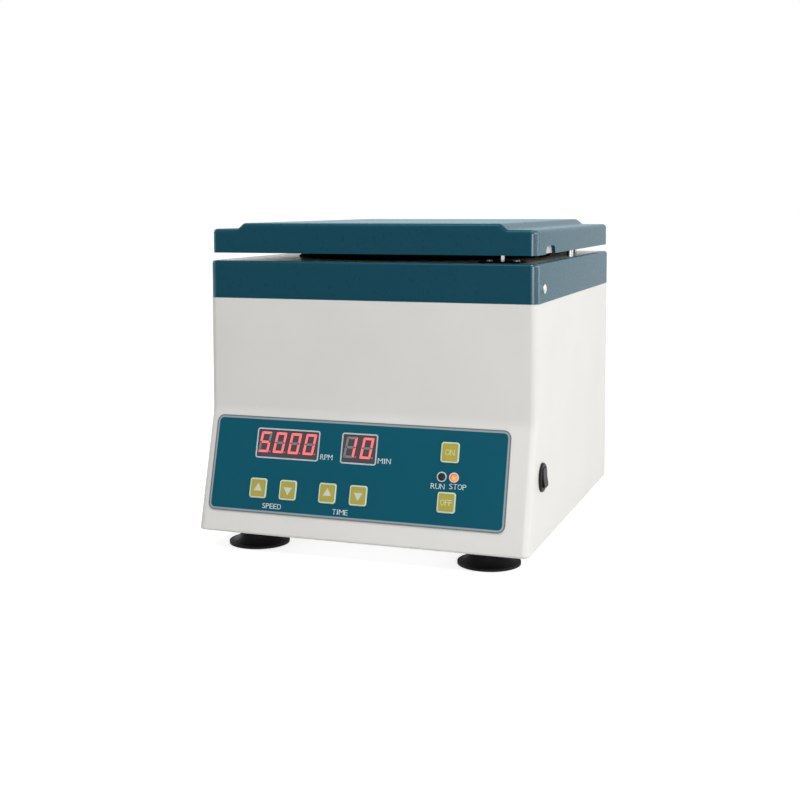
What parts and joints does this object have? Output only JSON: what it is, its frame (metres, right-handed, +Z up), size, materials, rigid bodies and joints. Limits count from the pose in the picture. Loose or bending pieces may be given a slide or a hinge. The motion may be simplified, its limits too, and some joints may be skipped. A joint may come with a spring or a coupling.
{
  "type": "microplate centrifuge",
  "caption": "Bench centrifuge with a hinged lid, a sloping control front and a rotor that holds upright microplates.",
  "frame": {"origin": "centre of the outline on the bench, between the four feet", "axes": "+X to the right of someone facing the controls, +Y to the back, +Z up"},
  "size_m": [0.2862, 0.33, 0.2677],
  "materials": {
    "white_shell": "satin moulded plastic, warm white",
    "teal_shell": "glossy dark teal moulding",
    "pale_plate": "pale grey-beige plastic",
    "sheet_steel": "zinc-plated sheet",
    "bowl_steel": "spun stainless steel",
    "hinge_steel": "satin stainless steel",
    "bright_screws": "bright nickel plating",
    "black_rubber": "black moulded rubber",
    "black_plastic": "black plastic",
    "motor_paint": "dark enamelled can",
    "cast_alloy": "die-cast alloy",
    "rotor_alloy": "anodised alloy",
    "laminations": "stacked iron sheets",
    "label_film": "printed polyester film, teal with grey edge",
    "board_green": "solder-masked board",
    "display_window": "smoked filter over seven-segment digits",
    "lamp_dark": "unlit lens in a pale ring",
    "lamp_red": "lit red lens in a pale ring",
    "key_olive": "olive-yellow key with a pale edge"
  },
  "bodies": {
    "cabinet": {"housing": "white_shell", "rear_grille": "black_plastic", "base_plate": "sheet_steel", "base_screws": "bright_screws", "foot_front_left": "black_rubber", "foot_front_right": "black_rubber", "foot_rear_left": "black_rubber", "foot_rear_right": "black_rubber", "foot_bolts": "bright_screws", "top_collar": "teal_shell", "collar_screws": "bright_screws", "deck_plate": "pale_plate", "rest_posts": "bright_screws", "chamber_bowl": "bowl_steel", "bowl_gasket": "black_rubber", "shaft_boot": "black_rubber", "motor_plate": "sheet_steel", "motor_dampers": "black_rubber", "motor_can": "motor_paint", "motor_end_bell": "cast_alloy", "motor_bearings": "bowl_steel", "motor_stator": "laminations", "fixed_leaves": "hinge_steel", "hinge_pins": "bright_screws", "hinge_screws": "bright_screws", "control_label": "label_film", "control_board": "board_green", "board_posts": "black_plastic", "speed_display": "display_window", "time_display": "display_window", "run_lamp": "lamp_dark", "stop_lamp": "lamp_red", "switch_bezel": "black_plastic", "power_inlet": "black_plastic", "inlet_contacts": "bright_screws", "transformer": "laminations", "power_board": "board_green", "lock_body": "sheet_steel", "lock_plate": "bowl_steel", "lock_screws": "bright_screws", "lid_switch": "black_plastic"},
    "lid": {"lid_shell": "teal_shell", "lid_liner": "pale_plate", "lid_striker": "bright_screws", "lid_leaves": "hinge_steel", "lid_hinge_screws": "bright_screws"},
    "rotor": {"motor_shaft": "bowl_steel", "motor_core": "laminations", "rotor_hub": "bowl_steel", "plate_rotor": "rotor_alloy", "plate_holders": "rotor_alloy", "rotor_nut": "black_plastic"},
    "rocker": {"power_rocker": "black_plastic"},
    "bolt": {"lock_bolt": "bright_screws"},
    "speed_up_key_cap": {"speed_up_key": "key_olive"},
    "speed_down_key_cap": {"speed_down_key": "key_olive"},
    "time_up_key_cap": {"time_up_key": "key_olive"},
    "time_down_key_cap": {"time_down_key": "key_olive"},
    "on_key_cap": {"on_key": "key_olive"},
    "off_key_cap": {"off_key": "key_olive"}
  },
  "joints": [
    {"name": "lid_hinge", "type": "hinge", "parent": "cabinet", "child": "lid", "pos_m": [0, 0.1613, 0.2399], "axis": [-1, 0, 0], "range_deg": [0, 80]},
    {"name": "rotor_spin", "type": "hinge", "parent": "cabinet", "child": "rotor", "pos_m": [0, 0.0092, 0.124], "axis": [0, 0, 1], "continuous": true},
    {"name": "power_switch", "type": "hinge", "parent": "cabinet", "child": "rocker", "pos_m": [0.1405, -0.1221, 0.0695], "axis": [0, 1, 0], "range_deg": [0, 12]},
    {"name": "speed_up_key_press", "type": "slide", "parent": "cabinet", "child": "speed_up_key_cap", "axis": [0, 0.9629, -0.27], "range_m": [0, 0.0008], "stiffness_N_per_m": 1500},
    {"name": "speed_down_key_press", "type": "slide", "parent": "cabinet", "child": "speed_down_key_cap", "axis": [0, 0.9629, -0.27], "range_m": [0, 0.0008], "stiffness_N_per_m": 1500},
    {"name": "time_up_key_press", "type": "slide", "parent": "cabinet", "child": "time_up_key_cap", "axis": [0, 0.9629, -0.27], "range_m": [0, 0.0008], "stiffness_N_per_m": 1500},
    {"name": "time_down_key_press", "type": "slide", "parent": "cabinet", "child": "time_down_key_cap", "axis": [0, 0.9629, -0.27], "range_m": [0, 0.0008], "stiffness_N_per_m": 1500},
    {"name": "on_key_press", "type": "slide", "parent": "cabinet", "child": "on_key_cap", "axis": [0, 0.9629, -0.27], "range_m": [0, 0.0008], "stiffness_N_per_m": 1500},
    {"name": "off_key_press", "type": "slide", "parent": "cabinet", "child": "off_key_cap", "axis": [0, 0.9629, -0.27], "range_m": [0, 0.0008], "stiffness_N_per_m": 1500},
    {"name": "lid_lock", "type": "slide", "parent": "cabinet", "child": "bolt", "axis": [1, 0, 0], "range_m": [0, 0.009], "stiffness_N_per_m": 150}
  ]
}
